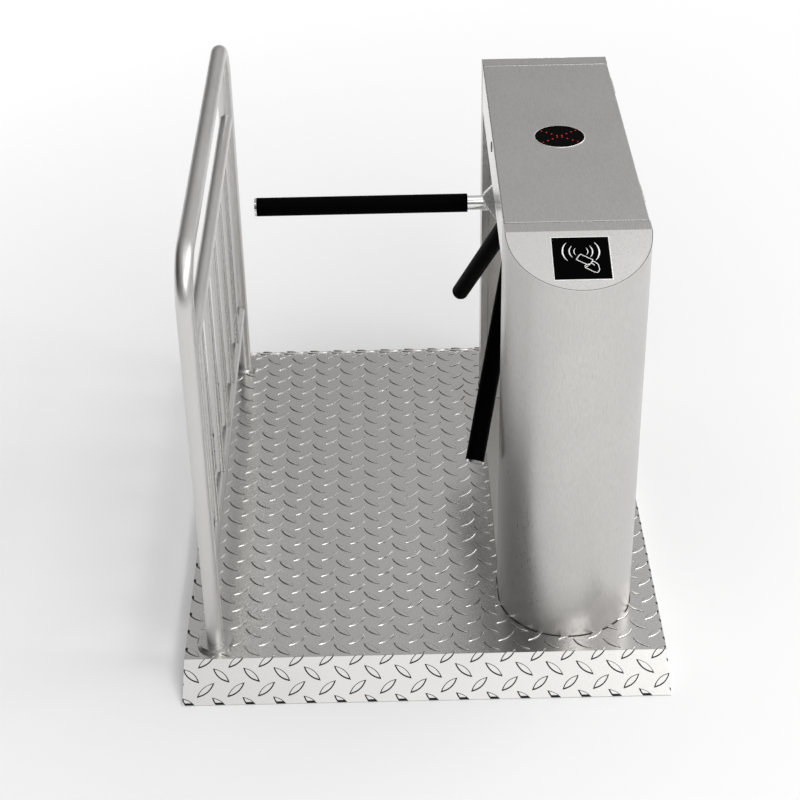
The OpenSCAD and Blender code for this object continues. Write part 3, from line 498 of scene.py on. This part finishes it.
def slope_frame(side):
    """Takes (across, up the slope, height) from the window's top to the part's frame."""
    angle = math.atan2(SLOPE_DROP[side], SLOPE_RUN)
    base = Matrix.Translation((CAB_X, CAB_Y, 0))
    if side < 0:
        base = base @ Matrix.Rotation(math.pi, 4, "Z")
    top = Matrix.Translation((0, SLOPE_RUN - CAB_LEN / 2, CAB_TOP))
    window = Matrix.Translation((0, -READER_DROP, ICON_LIFT))
    return base @ top @ Matrix.Rotation(angle, 4, "X") @ window


def strip(left, right):
    """A thin raised strip between two lines of points."""
    n = len(left)
    low = [(x, y, 0.0) for x, y in left + right]
    top = [(x, y, ICON_T) for x, y in left + right]
    faces = []
    for i in range(n - 1):
        a, b, c, d = i, i + 1, n + i + 1, n + i
        faces.append((2 * n + d, 2 * n + c, 2 * n + b, 2 * n + a))
        faces.append((a, b, 2 * n + b, 2 * n + a))
        faces.append((c, d, 2 * n + d, 2 * n + c))
    faces.append((0, 2 * n, 3 * n, n))
    faces.append((n - 1, 2 * n - 1, 4 * n - 1, 3 * n - 1))
    return low + top, faces


def arc_strip(radius, fat, side):
    """One arc to the left (-1) or right (1), widest at its middle."""
    left, right = [], []
    for i in range(ARC_STEPS + 1):
        a = -ARC_HALF + 2 * ARC_HALF * i / ARC_STEPS
        wide = fat * (ARC_TIP + (1 - ARC_TIP) * math.cos(a / ARC_HALF * math.pi / 2))
        for line, r in ((left, radius - wide / 2), (right, radius + wide / 2)):
            line.append((ARC_CENTRE[0] + side * r * math.cos(a),
                         ARC_CENTRE[1] + r * math.sin(a)))
    return strip(right, left) if side > 0 else strip(left, right)


def line_strip(points, closed):
    """A strip of even width along a line of points, mitred at the corners."""
    pts = [Vector(p) for p in points]
    n = len(pts)
    left, right = [], []
    for i, at in enumerate(pts):
        ahead = pts[(i + 1) % n] - at if closed or i < n - 1 else at - pts[i - 1]
        behind = at - pts[i - 1] if closed or i > 0 else ahead
        ahead, behind = ahead.normalized(), behind.normalized()
        n1, n2 = Vector((-behind.y, behind.x)), Vector((-ahead.y, ahead.x))
        mitre = (n1 + n2).normalized()
        reach = LINE_W / 2 / max(MITRE_LEAST, mitre.dot(n1))
        left.append(tuple(at + mitre * reach))
        right.append(tuple(at - mitre * reach))
    if closed:
        left.append(left[0])
        right.append(right[0])
    return strip(right, left)


def rounded(points, radius):
    """A closed outline with each corner rounded."""
    out = []
    n = len(points)
    for i in range(n):
        p, a, b = Vector(points[i]), Vector(points[i - 1]), Vector(points[(i + 1) % n])
        r = min(radius, (a - p).length / 2, (b - p).length / 2)
        start, end = p + (a - p).normalized() * r, p + (b - p).normalized() * r
        for k in range(ROUND_STEPS + 1):
            t = k / ROUND_STEPS
            out.append(tuple(start * (1 - t) ** 2 + p * 2 * t * (1 - t) + end * t * t))
    return out


def reader_icon(name, side):
    """The white picture on one reader's window."""
    parts = [arc_strip(r, f, s) for r, f in zip(ARC_RADII, ARC_FAT) for s in (-1, 1)]
    turn = Matrix.Rotation(CARD_TURN, 2)
    half_l, half_w = CARD_L / 2, CARD_W / 2
    corners = ((-half_l, -half_w), (half_l, -half_w), (half_l, half_w), (-half_l, half_w))
    card = [turn @ Vector(p) + CARD_AT for p in corners]
    parts.append(line_strip(rounded(card, CARD_ROUND), True))
    for points, closed in HAND:
        line = [(x * MM, y * MM) for x, y in points]
        parts.append(line_strip(rounded(line, HAND_ROUND) if closed else line, closed))
    verts, faces = [], []
    for v, f in parts:
        base = len(verts)
        verts += v
        faces += [tuple(base + i for i in face) for face in f]
    obj = piece("reader_icon_" + name, verts, faces, "icon_white", "frame")
    obj.data.transform(slope_frame(side))


# Thin trim: painted shade along seams, round the legs' feet and in the covers' gaps, and painted
# highlights along the lid's ends and round the card windows

DOME = ((-0.5, -0.5), (-0.5, 0.6), (-0.2, 1.0), (0.2, 1.0), (0.5, 0.6), (0.5, -0.5))
UP = (0, 0, 1)
END_STEPS = 48
# The line of painted shade along each sloped cap's joint, and the one round each leg's foot
SEAM_IN = 0.0008
SEAM_W = 0.0012
SEAM_H = 0.0002
FOOT_W = 0.0020
FOOT_H = 0.0006
# The bright strip of painted highlight along each end of the lid
HIGHLIGHT_W = 0.0040
HIGHLIGHT_H = 0.00035
HIGHLIGHT_IN = 0.55  # from the lid's end to the fold's middle, in fold widths
# The dark strips of painted shade in the covers' gaps
GAP_SHADE_W = 0.0023
GAP_SHADE_SINK = 0.0004
READER_RIM = 0.0020
READER_RIM_H = 0.0003


def loft(rings, closed):
    """A skin through rings of points, capped at both ends unless the rings close on themselves."""
    n, m = len(rings), len(rings[0])
    verts = [p for ring in rings for p in ring]
    faces = [(i * m + k, i * m + (k + 1) % m, (i + 1) % n * m + (k + 1) % m, (i + 1) % n * m + k)
             for i in range(n if closed else n - 1) for k in range(m)]
    if not closed:
        faces += [tuple(range(m - 1, -1, -1)), tuple(range((n - 1) * m, n * m))]
    return verts, faces


def bead(name, line, across, up, width, height, material, body, closed=False):
    """A domed bead along a line of points, each with its own directions across and up."""
    rings = [[tuple(Vector(p) + Vector(a) * (u * width) + Vector(n) * (v * height))
              for u, v in DOME] for p, a, n in zip(line, across, up)]
    verts, faces = loft(rings, closed)
    obj = piece(name, verts, faces, material, body)
    bm = bmesh.new()
    bm.from_mesh(obj.data)
    bmesh.ops.recalc_face_normals(bm, faces=bm.faces[:])
    bm.to_mesh(obj.data)
    bm.free()
    return obj


def end_arc(side, radius):
    """Points (x, y) round one rounded end of the cabinet, and each one's outward direction."""
    turns = [math.pi * (i / END_STEPS - 0.5) for i in range(END_STEPS + 1)]
    outward = [(side * math.sin(a), -side * math.cos(a), 0) for a in turns]
    centre = CAB_Y - side * (CAB_LEN / 2 - CAB_W / 2)
    return [(CAB_X + x * radius, centre + y * radius) for x, y, z in outward], outward


def slope_joint_shades():
    """A painted shade along the joint between each sloped cap and the leg below it, round the
    cap's edge.
    """
    radius = CAB_W / 2 - SEAM_IN
    for name, side in ENDS:
        places, outward = end_arc(side, radius)
        line = [(x, y, CAB_TOP - SLOPE_DROP[side] * radius * abs(out[1]) / SLOPE_RUN)
                for (x, y), out in zip(places, outward)]
        bead("slope_seam_shade_" + name, line, outward, [UP] * len(line), SEAM_W, SEAM_H,
             "painted_shade", "frame")


def leg_foot_shades():
    """A painted shade round the foot of each leg, under the bars of the tread."""
    for name, side in ENDS:
        low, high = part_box(name + "_leg_shell")
        inner = high[1] if side > 0 else low[1]
        places, outward = end_arc(side, CAB_W / 2 + FOOT_W / 2)
        places = [(places[0][0], inner)] + places + [(places[-1][0], inner)]
        across = [outward[0]] + outward + [outward[-1]]
        bead("foot_shade_" + name, [(x, y, DECK_H) for x, y in places], across,
             [UP] * len(places), FOOT_W, FOOT_H, "painted_shade", "frame")


def lid_end_highlights():
    """A painted highlight: a bright strip along each folded end of the lid."""
    low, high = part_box("lid")
    for (name, side), end in zip(ENDS, (low[1], high[1])):
        place = end + side * HIGHLIGHT_W * HIGHLIGHT_IN
        line = [(x, place, high[2]) for x in (low[0] + HIGHLIGHT_W, high[0] - HIGHLIGHT_W)]
        bead("lid_end_highlight_" + name, line, [(0, 1, 0)] * 2, [UP] * 2, HIGHLIGHT_W, HIGHLIGHT_H,
             "painted_highlight", "lid")


def cover_gap_shades():
    """Painted shade: dark strips in the gaps beside each leg's inner cover."""
    for name, side in ENDS:
        low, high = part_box(name + "_leg_cover")
        face = (high[1] if side > 0 else low[1]) - side * GAP_SHADE_SINK
        for place, x in (("left", low[0] - GAP_SHADE_W / 2), ("right", high[0] + GAP_SHADE_W / 2)):
            line = [(x, face, z) for z in (low[2], high[2])]
            bead("seal_%s_%s" % (name, place), line, [(1, 0, 0)] * 2, [(0, side, 0)] * 2,
                 GAP_SHADE_W, GAP_SHADE_SINK, "painted_shade", "frame")


def reader_rims():
    """A painted highlight: a bright rim round each card window."""
    out = READER_RIM / 2
    left, right, low = -READER_W / 2 - out, READER_W / 2 + out, -READER_L - out
    corners = ((left, out, 0), (right, out, 0), (right, low, 0), (left, low, 0))
    across = ((-1, 1, 0), (1, 1, 0), (1, -1, 0), (-1, -1, 0))
    for name, side in ENDS:
        obj = bead("reader_rim_highlight_" + name, corners, across, [UP] * 4, READER_RIM, READER_RIM_H,
                   "painted_highlight", "frame", closed=True)
        obj.data.transform(slope_frame(side))


# Indicator: a cross of small lamps behind the lens, and a bright rim

LED_R = 0.0019
LED_H = 0.0004
LED_DOME = ((1.0, 0.0), (0.92, 0.6), (0.55, 1.0))  # shares of its radius and height
LED_SIDES = 12
LED_REACH = (0.0385, 0.0297)
LED_N = 8
RIM_W = 0.0020
RIM_H = 0.0009
RIM_SHAPE = ((0.0, 0.0), (0.0, 0.6), (-0.3, 1.0), (-0.7, 1.0), (-1.0, 0.7), (-1.0, 0.0))
RIM_SIDES = 96


def indicator_cross():
    """Two crossing rows of red dots."""
    verts, faces = [], []
    n = LED_SIDES
    turns = [2 * math.pi * i / n for i in range(n)]
    top = CAB_TOP + BEZEL_H / 2
    for lean in (1, -1):
        for k in range(LED_N):
            along = 2 * k / (LED_N - 1) - 1
            cx, cy = CAB_X + along * LED_REACH[0], CAB_Y + along * LED_REACH[1] * lean
            base = len(verts)
            for wide, high in LED_DOME:
                r, z = LED_R * wide, top + LED_H * high
                verts += [(cx + r * math.cos(a), cy + r * math.sin(a), z) for a in turns]
            for ring in (base, base + n):
                faces += [(ring + i, ring + (i + 1) % n, ring + n + (i + 1) % n, ring + n + i)
                          for i in range(n)]
            faces.append(tuple(base + 2 * n + i for i in range(n)))
    piece("indicator_cross", verts, faces, "led_red", "lid")


def indicator_rim():
    """A thin bright lip where the bezel meets the lid."""
    profile = [(INDICATOR_R + RIM_W + u * RIM_W, CAB_TOP + v * RIM_H) for u, v in RIM_SHAPE]
    turns = [2 * math.pi * i / RIM_SIDES for i in range(RIM_SIDES)]
    rings = [[(CAB_X + r * math.cos(a), CAB_Y + r * math.sin(a), z) for r, z in profile]
             for a in turns]
    verts, faces = loft(rings, True)
    piece("indicator_rim", verts, faces, "hub_steel", "lid")


# Stage: floor, sky and lamps

FLOOR_SIZE = 60.0
FLOOR_TONE = (0.77, 0.77, 0.77)
FLOOR_GLOW = (0.14, 0.50)  # at the two distances of GLOW_REACH from the part
GLOW_REACH = (0.8, 4.0)
GLOW_LEAN = -0.045  # by metre along X, up to GLOW_SIDE to each side
GLOW_SIDE = 2.0
# The sky's light by the sine of the elevation, before it leans towards +X
SKY = ((0.0, 0.20), (0.30, 0.30), (0.54, 0.53), (0.80, 0.72), (0.92, 0.66), (1.0, 1.42))
SKY_TOP = 1.5
SKY_LEAN = 0.65
SKY_LEFT = 0.42  # how much darker the sky gets towards -X, on top of the lean
# Name, place, aim, size and watts
LAMPS = (
    ("key", (2.3, -0.3, 3.75), (0, 0, 0.2), 1.3, 42),
    ("side", (3.0, 1.8, 3.0), (0, 0, 0.2), 2.0, 24),
    ("front", (1.2, -2.8, 3.4), (0, 0, 0.4), 1.6, 38),
)


def floor():
    """A pale floor that keeps the part's shadow and brightens away from it."""
    mesh = bpy.data.meshes.new("floor")
    half = FLOOR_SIZE / 2
    corners = [(-half, -half, 0), (half, -half, 0), (half, half, 0), (-half, half, 0)]
    mesh.from_pydata(corners, [], [(0, 1, 2, 3)])
    mat = bpy.data.materials.new("floor")
    t = Tree(mat)
    out = t.add("ShaderNodeOutputMaterial")
    paint = t.add("ShaderNodeBsdfDiffuse")
    paint.inputs["Color"].default_value = (*FLOOR_TONE, 1)
    glow = t.add("ShaderNodeEmission")
    rays = t.add("ShaderNodeLightPath")
    seen = t.math("MAXIMUM", rays.outputs["Is Camera Ray"], rays.outputs["Is Glossy Ray"])
    seen = t.math("MAXIMUM", seen, rays.outputs["Is Transmission Ray"])
    where = t.add("ShaderNodeTexCoord")
    away = t.add("ShaderNodeVectorMath", operation="LENGTH")
    t.link(where.outputs["Object"], away.inputs[0])
    split = t.add("ShaderNodeSeparateXYZ")
    t.link(where.outputs["Object"], split.inputs[0])
    rise = t.span(away.outputs["Value"], *FLOOR_GLOW, *GLOW_REACH)
    aside = t.math("MINIMUM", t.math("MAXIMUM", split.outputs["X"], -GLOW_SIDE), GLOW_SIDE)
    rise = t.math("ADD", rise, t.math("MULTIPLY", aside, GLOW_LEAN))
    t.link(t.math("MULTIPLY", seen, rise), glow.inputs["Strength"])
    both = t.add("ShaderNodeAddShader")
    t.link(paint.outputs[0], both.inputs[0])
    t.link(glow.outputs[0], both.inputs[1])
    t.link(both.outputs[0], out.inputs["Surface"])
    mesh.materials.append(mat)
    obj = bpy.data.objects.new("floor", mesh)
    bpy.context.scene.collection.objects.link(obj)


def sky():
    """A studio sky that lights and shows in the metal, with plain white behind the part."""
    world = bpy.data.worlds.new("studio")
    bpy.context.scene.world = world
    t = Tree(world)
    out = t.add("ShaderNodeOutputWorld")
    where = t.add("ShaderNodeTexCoord")
    split = t.add("ShaderNodeSeparateXYZ")
    t.link(where.outputs["Generated"], split.inputs[0])
    ramp = t.add("ShaderNodeValToRGB")
    spots = ramp.color_ramp.elements
    spots.remove(spots[1])
    for i, (at, value) in enumerate(SKY):
        spot = spots[0] if i == 0 else spots.new(at)
        spot.position = at
        spot.color = (value / SKY_TOP, value / SKY_TOP, value / SKY_TOP, 1)
    t.link(split.outputs["Z"], ramp.inputs["Fac"])
    studio = t.add("ShaderNodeBackground")
    leaning = t.math("ADD", t.math("MULTIPLY", split.outputs["X"], SKY_LEAN), 1.0)
    left = t.math("MULTIPLY", t.math("MINIMUM", split.outputs["X"], 0.0), SKY_LEFT)
    leaning = t.math("ADD", leaning, left)
    t.link(t.math("MULTIPLY", leaning, SKY_TOP), studio.inputs["Strength"])
    t.link(ramp.outputs["Color"], studio.inputs["Color"])
    white = t.add("ShaderNodeBackground")
    white.inputs["Color"].default_value = (1, 1, 1, 1)
    rays = t.add("ShaderNodeLightPath")
    pick = t.add("ShaderNodeMixShader")
    t.link(rays.outputs["Is Camera Ray"], pick.inputs["Fac"])
    t.link(studio.outputs[0], pick.inputs[1])
    t.link(white.outputs[0], pick.inputs[2])
    t.link(pick.outputs[0], out.inputs["Surface"])


def lamps():
    """Soft square lamps overhead, to the right and in front."""
    for name, at, aim, size, watts in LAMPS:
        data = bpy.data.lights.new(name, "AREA")
        data.shape = "SQUARE"
        data.size = size
        data.energy = watts
        obj = bpy.data.objects.new(name, data)
        bpy.context.scene.collection.objects.link(obj)
        obj.location = at
        obj.rotation_mode = "QUATERNION"
        obj.rotation_quaternion = (Vector(aim) - Vector(at)).to_track_quat("-Z", "Y")


camera()
finish_nodes()
tread_deck()
tread_ramps()
for name, side in ENDS:
    reader_icon(name, side)
slope_joint_shades()
leg_foot_shades()
lid_end_highlights()
cover_gap_shades()
reader_rims()
indicator_cross()
indicator_rim()
floor()
sky()
lamps()
bpy.context.scene.view_settings.view_transform = "Standard"
